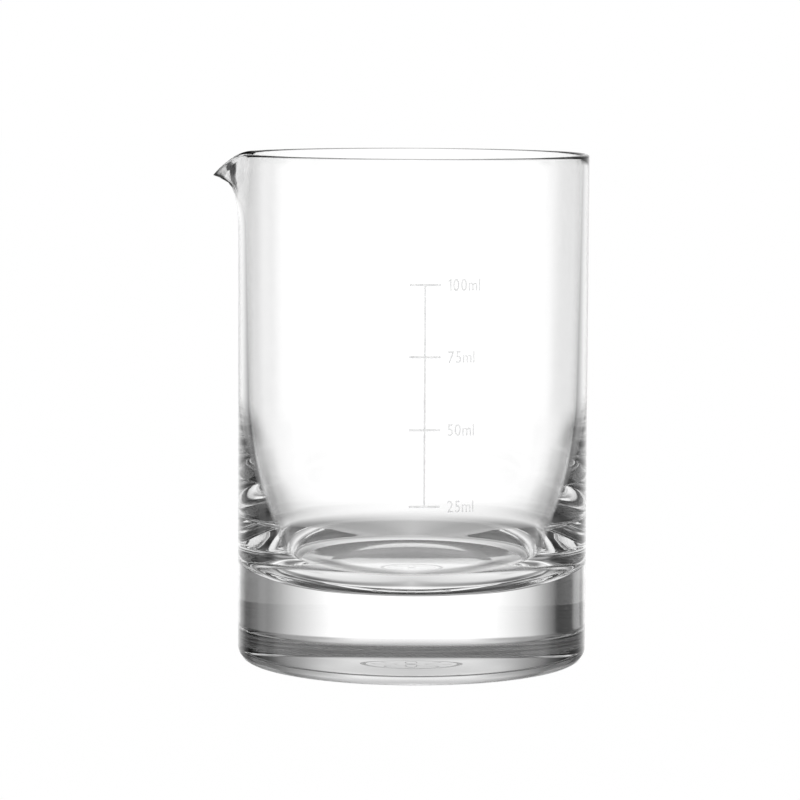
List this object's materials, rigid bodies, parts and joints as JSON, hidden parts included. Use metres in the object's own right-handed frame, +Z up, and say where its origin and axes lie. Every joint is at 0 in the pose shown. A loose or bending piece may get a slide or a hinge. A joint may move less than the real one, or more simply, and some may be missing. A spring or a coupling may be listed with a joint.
{
  "type": "mixing glass",
  "caption": "Small straight-sided mixing glass with a heavy clear base, a pulled pouring lip and a printed millilitre scale on its side.",
  "frame": {"origin": "centre of the flat underside, on the bowl's axis", "axes": "+Z up out of the bowl's mouth, -X towards the pouring lip, -Y towards the side with the scale"},
  "size_m": [0.0603, 0.0568, 0.0819],
  "materials": {
    "glass": "clear, polished",
    "scale_ink": "satin, fired on"
  },
  "bodies": {
    "root": {"glass_body": "glass", "mark_100_1_1": "scale_ink", "mark_100_2_0": "scale_ink", "mark_100_3_0": "scale_ink", "mark_100_4_m": "scale_ink", "mark_100_5_l": "scale_ink", "mark_25_1_2": "scale_ink", "mark_25_2_5": "scale_ink", "mark_25_3_m": "scale_ink", "mark_25_4_l": "scale_ink", "mark_50_1_5": "scale_ink", "mark_50_2_0": "scale_ink", "mark_50_3_m": "scale_ink", "mark_50_4_l": "scale_ink", "mark_75_1_7": "scale_ink", "mark_75_2_5": "scale_ink", "mark_75_3_m": "scale_ink", "mark_75_4_l": "scale_ink", "scale_ladder": "scale_ink"}
  },
  "joints": []
}
